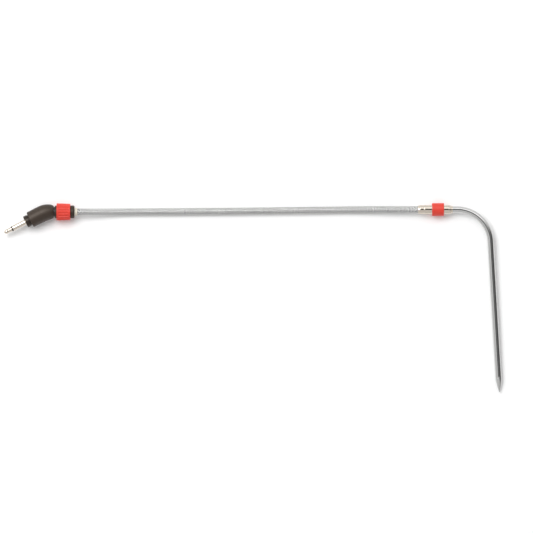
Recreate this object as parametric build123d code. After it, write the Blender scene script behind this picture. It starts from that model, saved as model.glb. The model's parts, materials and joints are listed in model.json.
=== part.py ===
from build123d import *
import math
import os

# Meat thermometer probe: a bent steel needle, a braided lead and an angled jack plug, lying flat
# on a table. Millimetres. The parts are laid out from the ferrule's mouth, which is at x = 0 and
# y = 0 with the table at z = 0, and the whole is moved at the end so that the origin is the
# centre of the probe's footprint on the table.

# ---- driving dimensions ----

# fits
SNUG = 0.02  # radial gap between pieces pressed, moulded or crimped together
RUNNING = 0.05  # radial gap under a ring that turns or slides
FACE_GAP = 0.05  # gap between faces that meet end to end

# needle
NEEDLE_R = 1.5
NEEDLE_WALL = 0.3
NEEDLE_BEND_R = 15.5
NEEDLE_BEND_DEG = 86.6
NEEDLE_REACH = 84.15  # from the corner of the bend to the point
NEEDLE_LEAD = 1.94  # straight tube between the ferrule and the bend
TIP_LENGTH = 6.5
TIP_SHOULDER = 0.4  # how full the point's flank is, as a sagitta
TIP_FLAT_R = 0.12
TIP_SPIGOT = 2.5
TIP_SPIGOT_WALL = 0.4
POCKET_DEPTH = 1.6  # past the seam
BEAD_LENGTH = 1.6
BEAD_ROUNDING = 0.6  # share of the bead's radius
BEAD_SIDE_GAP = 0.18  # filled with paste
BEAD_END_GAP = 0.25
LEAD_R = 0.1
LEAD_SLEEVE_R = 0.3
LEAD_SLEEVE_END_GAP = 0.3

# ferrule
FERRULE_LENGTH = 16.0
FERRULE_WALL = 0.53
FERRULE_CRIMP_STEP = 0.1  # how much smaller the end is that grips the braid
FERRULE_CRIMP_LENGTH = 2.8
FERRULE_MOUTH_WALL = 0.13
FERRULE_BEVEL = 0.9
SWAGE_LENGTH = 2.1
SWAGE_WALL = 0.14
BUSH_START = 0.8
BUSH_LENGTH = 5.6
BUSH_BORE_R = 0.95
SEAL_LENGTH = 2.65  # from the bush to the needle tube
SPLICE_SETBACK = 0.4  # from the tube's end to the crimp barrels
CRIMP_BARREL_R = 0.33
CRIMP_BARREL_LENGTH = 4.0
SPLICE_SLEEVE_WALL = 0.025

# ring on the ferrule
PROBE_RING_WALL = 0.8
PROBE_RING_WIDTH = 5.5
PROBE_RING_START = 6.45
PROBE_RING_EDGE = 0.3

# lead
BRAID_R = 1.6
BRAID_WALL = 0.3
CORE_INSULATION_R = 0.375
CORE_R = 0.2
CORE_OFFSET = 0.4  # each core above or below the lead's centre line
CORE_GAP = 0.105  # room round the cores in the jacket
BRAID_IN_FERRULE = 6.3
BRAID_IN_COLLAR = 5.5
TABLE_GAP = 0.02

# collar, its ring and the pieces inside it
PLUG_X = -158.0  # the collar's mouth
PLUG_Y = -1.06
COLLAR_LENGTH = 9.0
COLLAR_FLANGE = 0.32  # how far the spool's flanges stand above its groove
COLLAR_EDGE = 0.55
COLLAR_BACK_EDGE = 0.18
GROOVE_WALL = 0.58  # from the crimp's seat to the groove
GROOVE_END = 0.75  # width of the flange beside the boot
GROOVE_FRONT = 1.85  # width of the flange at the collar's mouth
PLUG_RING_WALL = 1.33  # at the end beside the boot
PLUG_RING_TAPER = 0.22  # how much less it is at the other end
PLUG_RING_RIM = 0.7
PLUG_RING_EDGE = 0.15
FLUTES = 18
FLUTE_R = 0.42
FLUTE_DEPTH = 0.32
END_SLEEVE_WALL = 0.13
END_SLEEVE_OUT = 1.35
END_SLEEVE_IN = 1.9
BRAID_CRIMP_WALL = 0.39
BRAID_CRIMP_LENGTH = 3.3

# elbow
ELBOW_DEG = 26.7
ELBOW_R = 11.0
ELBOW_TO_COLLAR = 4.2  # from the corner of the elbow to the collar's end face
ELBOW_TO_FRONT = 8.14  # from the corner of the elbow to the boot's front
BOOT_GAP = 0.6  # between the collar and the boot
BOOT_EDGE = 0.35
MOULD_NECK = 1.4  # how far the inner moulding reaches into the collar
MOULD_NECK_WALL = 0.3  # of the collar outside that neck
CHAMBER_R = 1.75
CHAMBER_LENGTH = 5.1
BOOT_WALL = 1.48  # where the boot is thickest
BOOT_TAIL_WALL = 0.55
BOOT_FRONT_WALL = 1.4
BOOT_FULL = 0.5  # share of the boot's length, from the collar, where it is thickest
BOOT_ROUNDING = 3.3  # how soon the tail swells, as a power
BOOT_SECTIONS = 13

# nose and jack, from the boot's front towards the tip
NOSE_LENGTH = 2.27
NOSE_OVERHANG = 0.45  # how far it stands out beyond the inner moulding
NOSE_GROOVE_OVERHANG = 0.2
NOSE_GROOVE = 0.5
NOSE_CHAMFER = 0.22
NOSE_SPIGOT = 0.45
JACK_R = 1.25
JACK_LENGTH = 11.0
JACK_SHANK_STEP = 0.2  # how much thicker the jack is inside the nose
JACK_FLANGE = 0.7
JACK_FLANGE_WALL = 0.3  # of the inner moulding outside the flange
JACK_TAIL_R = 0.9
JACK_TAIL = 0.55
JACK_BORE_R = 0.75
TIP_CONTACT = 3.87
TIP_RING = 0.56
TIP_WAIST = (0.36, 0.74)  # place, as a share of the contact's length, and radius, of the jack's
TIP_HEAD = (0.7, 0.86)
TIP_SHOULDER_R = 0.88  # this and the next two are shares of the jack's radius
TIP_EDGE_R = 0.42
TIP_END_R = 0.3
TIP_BEVEL = 0.12
TIP_ROD_R = 0.5
TIP_RIVET_R = 0.35
TIP_RIVET_OUT = 0.1
LUG_SHEET = 0.2
LUG_HALF_WIDTH = 0.6
LUG_HEIGHT = 1.3
LUG_PLATE_HALF = 1.1
LUG_TAIL_GAP = 0.5  # from the end of the elbow's bend to the lugs' tails
WIRE_ON_LUG = 2.0
INSULATION_ON_LUG = 0.15
WASHER_R = 1.05
WASHER = 0.45
SOLDER_LENGTH = 1.5
SOLDER_HALF_WIDTH = 0.4
SOLDER_ROUND = 0.12
SOLDER_END_GAP = 0.1
SOLDER_SIDE_GAP = 0.05

# ---- sizes that follow ----

NEEDLE_BORE_R = NEEDLE_R - NEEDLE_WALL
POCKET_R = NEEDLE_BORE_R - SNUG - TIP_SPIGOT_WALL
BEAD_R = POCKET_R - BEAD_SIDE_GAP
JACKET_R = BRAID_R - BRAID_WALL - SNUG
JACKET_BORE_R = CORE_OFFSET + CORE_INSULATION_R + CORE_GAP
BUSH_R = JACKET_R
FERRULE_BORE_R = BRAID_R + SNUG
FERRULE_R = max(FERRULE_BORE_R, NEEDLE_R + SNUG) + FERRULE_WALL
FERRULE_MOUTH_R = FERRULE_BORE_R + FERRULE_MOUTH_WALL
FERRULE_CRIMP_R = FERRULE_R - FERRULE_CRIMP_STEP
SWAGE_R = NEEDLE_R + SNUG + SWAGE_WALL
PROBE_RING_R = FERRULE_R + RUNNING + PROBE_RING_WALL
END_SLEEVE_BORE_R = BRAID_R + SNUG / 2
END_SLEEVE_R = END_SLEEVE_BORE_R + END_SLEEVE_WALL
BRAID_CRIMP_R = END_SLEEVE_BORE_R + BRAID_CRIMP_WALL
GROOVE_R = BRAID_CRIMP_R + SNUG + GROOVE_WALL
COLLAR_R = GROOVE_R + COLLAR_FLANGE
PLUG_RING_R = GROOVE_R + RUNNING + PLUG_RING_WALL
PLUG_RING_SMALL_R = PLUG_RING_R - PLUG_RING_TAPER
PLUG_RING_WIDTH = COLLAR_LENGTH - GROOVE_END - GROOVE_FRONT - 2 * RUNNING
MOULD_R = GROOVE_R - MOULD_NECK_WALL
BOOT_R = MOULD_R + BOOT_WALL
BOOT_TAIL_R = MOULD_R + BOOT_TAIL_WALL
BOOT_FRONT_R = MOULD_R + BOOT_FRONT_WALL
NOSE_R = MOULD_R + NOSE_OVERHANG
NOSE_GROOVE_R = MOULD_R + NOSE_GROOVE_OVERHANG
JACK_SHANK_R = JACK_R + JACK_SHANK_STEP
JACK_FLANGE_R = MOULD_R - JACK_FLANGE_WALL
LUG_TAIL_END = ELBOW_TO_FRONT - ELBOW_R * math.tan(math.radians(ELBOW_DEG / 2)) - LUG_TAIL_GAP
PROBE_Z = PROBE_RING_R
CABLE_Z = BRAID_R + TABLE_GAP
PLUG_Z = PLUG_RING_R + TABLE_GAP
HALF_BEND = math.radians(NEEDLE_BEND_DEG / 2)
BEND_CORNER = FERRULE_LENGTH + NEEDLE_LEAD + NEEDLE_BEND_R * math.tan(HALF_BEND)
NEEDLE_START = BUSH_START + BUSH_LENGTH + SEAL_LENGTH
SEAM = NEEDLE_REACH - TIP_LENGTH
# the needle droops until the shoulder of its point touches the table
DROOP_DEG = math.degrees(math.asin((PROBE_Z - NEEDLE_R) / SEAM))
SPLICE_START = NEEDLE_START + SPLICE_SETBACK
SPLICE_MIDDLE = SPLICE_START + CRIMP_BARREL_LENGTH / 2
JACK_END = NOSE_LENGTH + JACK_LENGTH
RING_FRONT = JACK_END - TIP_CONTACT
RING_BACK = RING_FRONT - TIP_RING
SHANK_BACK = -NOSE_SPIGOT - FACE_GAP
FLANGE_BACK = SHANK_BACK - JACK_FLANGE
TAIL_BACK = FLANGE_BACK - JACK_TAIL
WASHER_BACK = TAIL_BACK - WASHER
RIVET_BACK = WASHER_BACK - LUG_SHEET - TIP_RIVET_OUT
WIRE_END = -LUG_TAIL_END + WIRE_ON_LUG
INSULATION_END = -LUG_TAIL_END + INSULATION_ON_LUG
TOP_BOTTOM = (1, -1)

# The lead's route, from inside the ferrule to inside the collar.
CABLE_ROUTE = [
    (BRAID_IN_FERRULE, 0.0, PROBE_Z),
    (-9.0, 0.0, PROBE_Z),
    (-27.0, 0.04, CABLE_Z),
    (-53.0, -0.28, CABLE_Z),
    (-88.0, -0.74, CABLE_Z),
    (-119.0, -0.93, CABLE_Z),
    (-138.0, -1.02, CABLE_Z),
    (-151.5, PLUG_Y, PLUG_Z),
    (PLUG_X - BRAID_IN_COLLAR, PLUG_Y, PLUG_Z),
]

# ---- placing ----

ELBOW_CORNER = Vector(PLUG_X - COLLAR_LENGTH - ELBOW_TO_COLLAR, PLUG_Y, PLUG_Z)
PIN_WAY = Vector(-math.cos(math.radians(ELBOW_DEG)), -math.sin(math.radians(ELBOW_DEG)), 0)
PIN_FRAME = Plane(ELBOW_CORNER + PIN_WAY * ELBOW_TO_FRONT, x_dir=PIN_WAY, z_dir=(0, 0, 1))
NEEDLE_WAY = Vector(math.cos(2 * HALF_BEND), -math.sin(2 * HALF_BEND), 0)
TIP_FRAME = Plane(Vector(BEND_CORNER, 0, 0) + NEEDLE_WAY * SEAM, x_dir=NEEDLE_WAY, z_dir=(0, 0, 1))
AT_FERRULE = Pos(0, 0, PROBE_Z)
AT_NEEDLE = AT_FERRULE * Rot(DROOP_DEG, 0, 0)
AT_COLLAR = Pos(PLUG_X, PLUG_Y, PLUG_Z)
AT_PIN = PIN_FRAME.location
AT_POINT = AT_NEEDLE * TIP_FRAME.location

nodes = {}


def turned(outline):
    """A solid of revolution about X from (x, radius) points."""
    return revolve(make_face(Polyline(*outline, close=True)), Axis.X)


def bar(x0, x1, r):
    """A round bar along X from x0 to x1."""
    return Plane((x0, 0, 0), x_dir=(0, 1, 0), z_dir=(1, 0, 0)).location * extrude(Circle(r), x1 - x0)


def pipe(x0, x1, r, bore):
    """A round tube along X."""
    return bar(x0, x1, r) - bar(x0, x1, bore)


def block(x0, x1, half_width, z0, z1):
    """A rectangular block, centred on y = 0."""
    box = Box(x1 - x0, 2 * half_width, z1 - z0)
    return Pos((x0 + x1) / 2, 0, (z0 + z1) / 2) * box


def route_radii(points):
    """For each corner, 0.45 of its shorter run divided by the tangent of half the turn."""
    radii = []
    for before, here, after in zip(points, points[1:], points[2:]):
        run_in = Vector(*here) - Vector(*before)
        run_out = Vector(*after) - Vector(*here)
        half_turn = math.radians(run_in.get_angle(run_out)) / 2
        radii.append(0.45 * min(run_in.length, run_out.length) / math.tan(half_turn))
    return radii


def along(points, radii, r, lift=0.0):
    """A round bar swept along straight runs joined by tangent arcs, raised by lift."""
    raised = [(x, y, z + lift) for x, y, z in (tuple(Vector(*p)) for p in points)]
    path = FilletPolyline(*raised, radius=radii)
    start = Plane(path @ 0, z_dir=path % 0)
    return sweep(start.location * Circle(r), path=path), path.length


def pair(make):
    """Two like solids, one above and one below the centre line, as one node."""
    return Compound(children=[make(side * CORE_OFFSET) for side in TOP_BOTTOM])


# ---- needle ----

def needle_points(start, end):
    return [(start, 0, 0), (BEND_CORNER, 0, 0), Vector(BEND_CORNER, 0, 0) + NEEDLE_WAY * end]


def build_needle():
    points = needle_points(NEEDLE_START, SEAM)
    outside, _ = along(points, [NEEDLE_BEND_R], NEEDLE_R)
    inside, _ = along(points, [NEEDLE_BEND_R], NEEDLE_BORE_R)
    nodes["needle_tube"] = AT_NEEDLE * (outside - inside)

    # the point, from its spigot inside the tube to the ground tip
    flank = ThreePointArc(
        (0, NEEDLE_R),
        (TIP_LENGTH / 2, (NEEDLE_R + TIP_FLAT_R) / 2 + TIP_SHOULDER),
        (TIP_LENGTH, TIP_FLAT_R),
    )
    outline = flank + Polyline(
        (TIP_LENGTH, TIP_FLAT_R),
        (TIP_LENGTH, 0),
        (POCKET_DEPTH, 0),
        (POCKET_DEPTH, POCKET_R),
        (-TIP_SPIGOT, POCKET_R),
        (-TIP_SPIGOT, NEEDLE_BORE_R - SNUG),
        (0, NEEDLE_BORE_R - SNUG),
        (0, NEEDLE_R),
    )
    nodes["needle_tip"] = AT_POINT * revolve(make_face(outline), Axis.X)

    # glass bead in the pocket, the leads that reach it and the fill around it
    bead_back = POCKET_DEPTH - BEAD_LENGTH - BEAD_END_GAP
    bead_front = POCKET_DEPTH - BEAD_END_GAP
    bead_round = BEAD_R * BEAD_ROUNDING
    bead = fillet(bar(bead_back, bead_front, BEAD_R).edges(), bead_round)
    lead_end = SEAM + bead_back - FACE_GAP
    lead_points = needle_points(SPLICE_MIDDLE + FACE_GAP, lead_end)
    nodes["thermistor_bead"] = AT_POINT * bead
    nodes["thermistor_leads"] = AT_NEEDLE * pair(
        lambda lift: along(lead_points, [NEEDLE_BEND_R], LEAD_R, lift)[0]
    )
    fill = bar(-TIP_SPIGOT, POCKET_DEPTH - FACE_GAP, POCKET_R - SNUG)
    seat = bar(bead_back - SNUG, bead_front + SNUG, BEAD_R + SNUG)
    fill -= fillet(seat.edges(), bead_round)
    for side in TOP_BOTTOM:
        fill -= Pos(0, 0, side * CORE_OFFSET) * bar(-TIP_SPIGOT, bead_back, LEAD_R + SNUG)
    nodes["thermal_paste"] = AT_POINT * fill

    sleeve_start = SPLICE_START + CRIMP_BARREL_LENGTH + LEAD_SLEEVE_END_GAP
    sleeve_points = needle_points(sleeve_start, SEAM - TIP_SPIGOT - LEAD_SLEEVE_END_GAP)

    def lead_sleeve(lift):
        outer, _ = along(sleeve_points, [NEEDLE_BEND_R], LEAD_SLEEVE_R, lift)
        inner, _ = along(sleeve_points, [NEEDLE_BEND_R], LEAD_R + SNUG, lift)
        return outer - inner

    nodes["lead_sleeves"] = AT_NEEDLE * pair(lead_sleeve)


# ---- ferrule and what it holds ----

def splice_barrel(lift):
    """A crimp barrel: the wider half holds a core of the lead, the narrower half a bead wire."""
    end = SPLICE_START + CRIMP_BARREL_LENGTH
    barrel = bar(SPLICE_START, end, CRIMP_BARREL_R)
    barrel -= bar(SPLICE_START, SPLICE_MIDDLE, CORE_R + SNUG)
    barrel -= bar(SPLICE_MIDDLE, end, LEAD_R + SNUG)
    return Pos(0, 0, lift) * barrel


def splice_sleeve(lift):
    bore = CRIMP_BARREL_R + SNUG / 2
    end = SPLICE_START + CRIMP_BARREL_LENGTH
    return Pos(0, 0, lift) * pipe(SPLICE_START, end, bore + SPLICE_SLEEVE_WALL, bore)


def build_ferrule():
    swage_start = FERRULE_LENGTH - SWAGE_LENGTH
    tube_bore = NEEDLE_R + SNUG
    outside = Polyline(
        (0, FERRULE_BORE_R),
        (0, FERRULE_MOUTH_R),
        (FERRULE_BEVEL, FERRULE_CRIMP_R),
        (FERRULE_CRIMP_LENGTH, FERRULE_CRIMP_R),
        (FERRULE_CRIMP_LENGTH + 2 * FERRULE_CRIMP_STEP, FERRULE_R),
        (swage_start, FERRULE_R),
    )
    swage = Spline(
        (swage_start, FERRULE_R),
        (FERRULE_LENGTH, SWAGE_R),
        tangents=((1, 0), (1, 0)),
    )
    inside = Polyline(
        (FERRULE_LENGTH, SWAGE_R),
        (FERRULE_LENGTH, tube_bore),
        (NEEDLE_START - FACE_GAP, tube_bore),
        (NEEDLE_START - FACE_GAP, FERRULE_BORE_R),
        (0, FERRULE_BORE_R),
    )
    nodes["ferrule"] = AT_FERRULE * revolve(make_face(outside + swage + inside), Axis.X)

    ring_end = PROBE_RING_START + PROBE_RING_WIDTH
    ring = bar(PROBE_RING_START, ring_end, PROBE_RING_R)
    ring = chamfer(ring.edges().filter_by(GeomType.CIRCLE), PROBE_RING_EDGE)
    ring -= bar(PROBE_RING_START, ring_end, FERRULE_R + RUNNING)
    nodes["probe_id_ring"] = AT_FERRULE * ring

    bush_end = BUSH_START + BUSH_LENGTH
    nodes["crimp_bush"] = AT_FERRULE * pipe(BUSH_START, bush_end, BUSH_R, BUSH_BORE_R)
    seal = bar(bush_end + FACE_GAP, NEEDLE_START - 2 * FACE_GAP, BRAID_R)
    for side in TOP_BOTTOM:
        channel = bar(bush_end, NEEDLE_START, CORE_INSULATION_R + SNUG)
        seal -= Pos(0, 0, side * CORE_OFFSET) * channel
    nodes["ferrule_seal"] = AT_FERRULE * seal
    nodes["splice_crimps"] = AT_NEEDLE * pair(splice_barrel)
    nodes["splice_sleeves"] = AT_NEEDLE * pair(splice_sleeve)


# ---- lead ----

def build_cable():
    radii = route_radii(CABLE_ROUTE)
    print("lead radii, mm:", [round(r) for r in radii])
    # the pieces inside share the route, each with its own ends
    inner_route = [(BUSH_START - FACE_GAP, 0, PROBE_Z)] + CABLE_ROUTE[1:]
    wires_radii = radii + [ELBOW_R]

    def wire_route(ferrule_end, pin_end):
        last = PIN_FRAME.from_local_coords(Vector(pin_end, 0, 0))
        return [(ferrule_end, 0, PROBE_Z)] + CABLE_ROUTE[1:-1] + [ELBOW_CORNER, last]

    braid, length = along(CABLE_ROUTE, radii, BRAID_R)
    braid -= along(CABLE_ROUTE, radii, BRAID_R - BRAID_WALL)[0]
    nodes["cable_braid"] = braid
    section = math.pi * (BRAID_R**2 - (BRAID_R - BRAID_WALL) ** 2)
    print("lead length, mm:", round(length, 2))
    print("braid volume over section times length:", round(braid.volume / section / length, 5))

    jacket = along(inner_route, radii, JACKET_R)[0]
    nodes["cable_jacket"] = jacket - along(inner_route, radii, JACKET_BORE_R)[0]

    insulated = wire_route(SPLICE_START - FACE_GAP, INSULATION_END)
    stripped = wire_route(SPLICE_MIDDLE - FACE_GAP, WIRE_END)

    def insulation(lift):
        outer = along(insulated, wires_radii, CORE_INSULATION_R, lift)[0]
        return outer - along(insulated, wires_radii, CORE_R + SNUG / 2, lift)[0]

    nodes["core_insulation"] = pair(insulation)
    nodes["core_wires"] = pair(lambda lift: along(stripped, wires_radii, CORE_R, lift)[0])


# ---- collar ----

def build_collar():
    groove_back = -COLLAR_LENGTH + GROOVE_END
    spool = bar(-COLLAR_LENGTH, 0, COLLAR_R)
    rims = spool.edges().filter_by(GeomType.CIRCLE).sort_by(Axis.X)
    spool = fillet(rims[-1], COLLAR_EDGE)
    spool = fillet(spool.edges().filter_by(GeomType.CIRCLE).sort_by(Axis.X)[0], COLLAR_BACK_EDGE)
    spool -= pipe(groove_back, -GROOVE_FRONT, PLUG_RING_R, GROOVE_R)
    spool -= bar(-END_SLEEVE_IN - FACE_GAP, 0, END_SLEEVE_R + SNUG)
    spool -= bar(-COLLAR_LENGTH, -END_SLEEVE_IN - FACE_GAP, BRAID_CRIMP_R + SNUG)
    spool -= bar(-COLLAR_LENGTH, -COLLAR_LENGTH + MOULD_NECK + FACE_GAP, MOULD_R + SNUG)
    nodes["collar"] = AT_COLLAR * spool

    # the ring tapers a little, and its flutes stop short of two plain rims
    back = groove_back + RUNNING
    front = back + PLUG_RING_WIDTH
    ring = turned([(back, 0), (back, PLUG_RING_R), (front, PLUG_RING_SMALL_R), (front, 0)])
    ring = fillet(ring.edges().filter_by(GeomType.CIRCLE), PLUG_RING_EDGE)
    ring -= bar(back, front, GROOVE_R + RUNNING)
    middle_r = (PLUG_RING_R + PLUG_RING_SMALL_R) / 2
    flute = bar(back + PLUG_RING_RIM, front - PLUG_RING_RIM, FLUTE_R)
    flute = Pos(0, 0, middle_r + FLUTE_R - FLUTE_DEPTH) * flute
    for i in range(FLUTES):
        ring -= Rot((i + 0.5) * 360 / FLUTES, 0, 0) * flute
    nodes["plug_id_ring"] = AT_COLLAR * ring

    sleeve = pipe(-END_SLEEVE_IN, END_SLEEVE_OUT, END_SLEEVE_R, END_SLEEVE_BORE_R)
    nodes["braid_end_sleeve"] = AT_COLLAR * sleeve
    crimp_front = -END_SLEEVE_IN - 2 * FACE_GAP
    crimp = pipe(crimp_front - BRAID_CRIMP_LENGTH, crimp_front, BRAID_CRIMP_R, END_SLEEVE_BORE_R)
    nodes["braid_crimp"] = AT_COLLAR * crimp


# ---- elbow ----

def elbow_path(start, end):
    """The elbow's centre line, from start behind its corner to end short of the boot's front."""
    first = ELBOW_CORNER + Vector(start, 0, 0)
    last = PIN_FRAME.from_local_coords(Vector(end, 0, 0))
    return [first, ELBOW_CORNER, last]


def boot_radius(share):
    """The boot's radius at a share of its length from the collar."""
    if share < BOOT_FULL:
        hollow = (1 - share / BOOT_FULL) ** BOOT_ROUNDING
        return BOOT_R - (BOOT_R - BOOT_TAIL_R) * hollow
    return BOOT_R - (BOOT_R - BOOT_FRONT_R) * ((share - BOOT_FULL) / (1 - BOOT_FULL)) ** 2


def build_elbow():
    boot_start = ELBOW_TO_COLLAR - BOOT_GAP
    points = elbow_path(boot_start, 0)
    path = FilletPolyline(*points, radius=[ELBOW_R])
    rings = []
    for i in range(BOOT_SECTIONS):
        share = i / (BOOT_SECTIONS - 1)
        rings.append(Plane(path @ share, z_dir=path % share).location * Circle(boot_radius(share)))
    boot = loft(rings)
    front_edge = boot.edges().sort_by_distance(path @ 1)[0]
    boot = fillet(front_edge, BOOT_EDGE)
    boot -= along(points, [ELBOW_R], MOULD_R + SNUG)[0]
    nodes["boot"] = boot

    mould_end = SHANK_BACK - FACE_GAP / 2
    mould_points = elbow_path(ELBOW_TO_COLLAR + MOULD_NECK, mould_end)
    mould = along(mould_points, [ELBOW_R], MOULD_R)[0]
    for side in TOP_BOTTOM:
        channel = along(mould_points, [ELBOW_R], CORE_INSULATION_R + SNUG, side * CORE_OFFSET)[0]
        mould -= channel
    chamber_front = FLANGE_BACK - FACE_GAP
    mould -= AT_PIN * bar(chamber_front - CHAMBER_LENGTH, chamber_front, CHAMBER_R)
    mould -= AT_PIN * bar(chamber_front, 0, JACK_FLANGE_R + SNUG)
    nodes["inner_mould"] = mould


# ---- nose and jack ----

def build_jack():
    nose = turned(
        [
            (-NOSE_SPIGOT, JACK_SHANK_R + SNUG),
            (-NOSE_SPIGOT, MOULD_R),
            (FACE_GAP, MOULD_R),
            (FACE_GAP, NOSE_GROOVE_R),
            (NOSE_GROOVE, NOSE_GROOVE_R),
            (NOSE_GROOVE, NOSE_R),
            (NOSE_LENGTH - NOSE_CHAMFER, NOSE_R),
            (NOSE_LENGTH, NOSE_R - NOSE_CHAMFER),
            (NOSE_LENGTH, JACK_SHANK_R + SNUG),
        ]
    )
    nodes["plug_nose"] = AT_PIN * nose

    sleeve = turned(
        [
            (TAIL_BACK, JACK_BORE_R),
            (TAIL_BACK, JACK_TAIL_R),
            (FLANGE_BACK, JACK_TAIL_R),
            (FLANGE_BACK, JACK_FLANGE_R),
            (SHANK_BACK, JACK_FLANGE_R),
            (SHANK_BACK, JACK_SHANK_R),
            (NOSE_LENGTH, JACK_SHANK_R),
            (NOSE_LENGTH, JACK_R),
            (RING_BACK, JACK_R),
            (RING_BACK, JACK_BORE_R),
        ]
    )
    nodes["jack_sleeve"] = AT_PIN * sleeve

    insulator = bar(TAIL_BACK, RING_BACK + SNUG, JACK_BORE_R - SNUG)
    insulator += bar(RING_BACK + SNUG, RING_FRONT - SNUG, JACK_R)
    insulator -= bar(TAIL_BACK, RING_FRONT, TIP_ROD_R + SNUG)
    nodes["tip_insulator"] = AT_PIN * insulator

    # the tip contact: shoulder, waist, head and blunt nose
    shoulder = (RING_FRONT, JACK_R * TIP_SHOULDER_R)
    bevel = (JACK_END - TIP_BEVEL, JACK_R * TIP_EDGE_R)
    waist, head = ((RING_FRONT + at * TIP_CONTACT, JACK_R * r) for at, r in (TIP_WAIST, TIP_HEAD))
    profile = Spline(shoulder, waist, head, bevel)
    end = Polyline(
        bevel,
        (JACK_END, JACK_R * TIP_END_R),
        (JACK_END, 0),
        (RIVET_BACK, 0),
        (RIVET_BACK, TIP_RIVET_R),
        (WASHER_BACK, TIP_RIVET_R),
        (WASHER_BACK, TIP_ROD_R),
        (RING_FRONT, TIP_ROD_R),
        shoulder,
    )
    nodes["jack_tip"] = AT_PIN * revolve(make_face(profile + end), Axis.X)

    # ground lug round the sleeve's tail, tip lug on the rod's riveted end
    lug_front = FLANGE_BACK - FACE_GAP
    lug_back = lug_front - LUG_SHEET
    ground = block(lug_back, lug_front, LUG_PLATE_HALF, -LUG_HEIGHT, LUG_PLATE_HALF)
    ground -= bar(lug_back, lug_front, JACK_TAIL_R + SNUG)
    ground += block(-LUG_TAIL_END, lug_front, LUG_HALF_WIDTH, -LUG_HEIGHT, LUG_SHEET - LUG_HEIGHT)
    nodes["sleeve_lug"] = AT_PIN * ground

    nodes["lug_washer"] = AT_PIN * pipe(WASHER_BACK + SNUG, TAIL_BACK - SNUG, WASHER_R, TIP_ROD_R + SNUG)

    plate_back = WASHER_BACK - LUG_SHEET
    live = block(plate_back, WASHER_BACK, LUG_HALF_WIDTH, -LUG_HALF_WIDTH, LUG_HEIGHT)
    live -= bar(plate_back, WASHER_BACK, TIP_RIVET_R + SNUG)
    live += block(-LUG_TAIL_END, WASHER_BACK, LUG_HALF_WIDTH, LUG_HEIGHT - LUG_SHEET, LUG_HEIGHT)
    nodes["tip_lug"] = AT_PIN * live

    def solder(lift):
        start = INSULATION_END + SOLDER_END_GAP
        end = start + SOLDER_LENGTH
        low = CORE_OFFSET + SOLDER_SIDE_GAP
        high = LUG_HEIGHT - LUG_SHEET - SNUG
        joint = fillet(block(start, end, SOLDER_HALF_WIDTH, low, high).edges(), SOLDER_ROUND)
        joint -= Pos(0, 0, CORE_OFFSET) * bar(start, end, CORE_R + SNUG)
        return joint if lift > 0 else Rot(180, 0, 0) * joint

    nodes["solder_joints"] = AT_PIN * pair(solder)


# ---- build and write ----

build_needle()
build_ferrule()
build_cable()
build_collar()
build_elbow()
build_jack()

# the origin goes to the centre of the probe's own footprint, on the table
boxes = [nodes[name].bounding_box() for name in ("needle_tube", "needle_tip", "ferrule", "probe_id_ring")]
origin = Vector(
    (min(box.min.X for box in boxes) + max(box.max.X for box in boxes)) / 2,
    (min(box.min.Y for box in boxes) + max(box.max.Y for box in boxes)) / 2,
    0,
)
os.makedirs("parts", exist_ok=True)
for name, shape in nodes.items():
    export_step(shape.moved(Location(-origin)), f"parts/{name}.step")
print("ferrule mouth in the part's frame, mm:", tuple(round(v, 4) for v in -origin))
print("nodes:", len(nodes))
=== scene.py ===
import json
import math

import bpy
from bpy.props import FloatProperty, FloatVectorProperty, IntProperty, PointerProperty
from mathutils import Matrix, Vector


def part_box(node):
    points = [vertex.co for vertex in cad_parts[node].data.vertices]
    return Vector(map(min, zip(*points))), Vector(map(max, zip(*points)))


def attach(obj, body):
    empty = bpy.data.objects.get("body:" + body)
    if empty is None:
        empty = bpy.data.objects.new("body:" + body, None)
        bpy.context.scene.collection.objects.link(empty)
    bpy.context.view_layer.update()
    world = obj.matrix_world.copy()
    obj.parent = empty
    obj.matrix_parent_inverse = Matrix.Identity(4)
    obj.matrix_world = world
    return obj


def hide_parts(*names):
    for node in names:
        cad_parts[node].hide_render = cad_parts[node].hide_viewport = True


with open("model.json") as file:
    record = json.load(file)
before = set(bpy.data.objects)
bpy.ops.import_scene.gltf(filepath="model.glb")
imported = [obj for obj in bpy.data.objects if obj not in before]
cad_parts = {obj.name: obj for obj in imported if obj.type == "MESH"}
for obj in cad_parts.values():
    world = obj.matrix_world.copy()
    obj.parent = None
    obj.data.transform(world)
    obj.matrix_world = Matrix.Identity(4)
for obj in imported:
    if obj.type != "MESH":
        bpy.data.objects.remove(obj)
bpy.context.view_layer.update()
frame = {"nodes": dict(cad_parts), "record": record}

bl_info = {
    "name": "Grill thermometer probe",
    "version": (1, 0, 0),
    "blender": (4, 5, 0),
    "location": "3D View > Sidebar > Probe",
    "description": "Builds a bent needle probe with a braided lead and an angled jack plug",
    "category": "Add Mesh",
}

# Lengths are metres and angles degrees. MM turns the makers' millimetres into metres.
MM = 0.001
ROOT = "probe_lead_and_plug"
ROUND = 96  # vertices round a turned piece


def linear(hex_colour):
    """An sRGB hex colour as linear RGBA."""
    parts = [int(hex_colour[i : i + 2], 16) / 255 for i in (1, 3, 5)]
    return [c / 12.92 if c <= 0.04045 else ((c + 0.055) / 1.055) ** 2.4 for c in parts] + [1.0]


def grey(level):
    return [level, level, level, 1.0]


WARM_SHINE = linear("#FFF2E6")  # tints the highlights of the soft-touch mouldings


# ---- sizes and colours that a user would change ----


def length(name, description, millimetres):
    return FloatProperty(
        name=name, description=description, default=millimetres * MM, unit="LENGTH", precision=5
    )


def colour(name, description, hex_colour):
    return FloatVectorProperty(
        name=name, description=description, default=linear(hex_colour), size=4, subtype="COLOR"
    )


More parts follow.
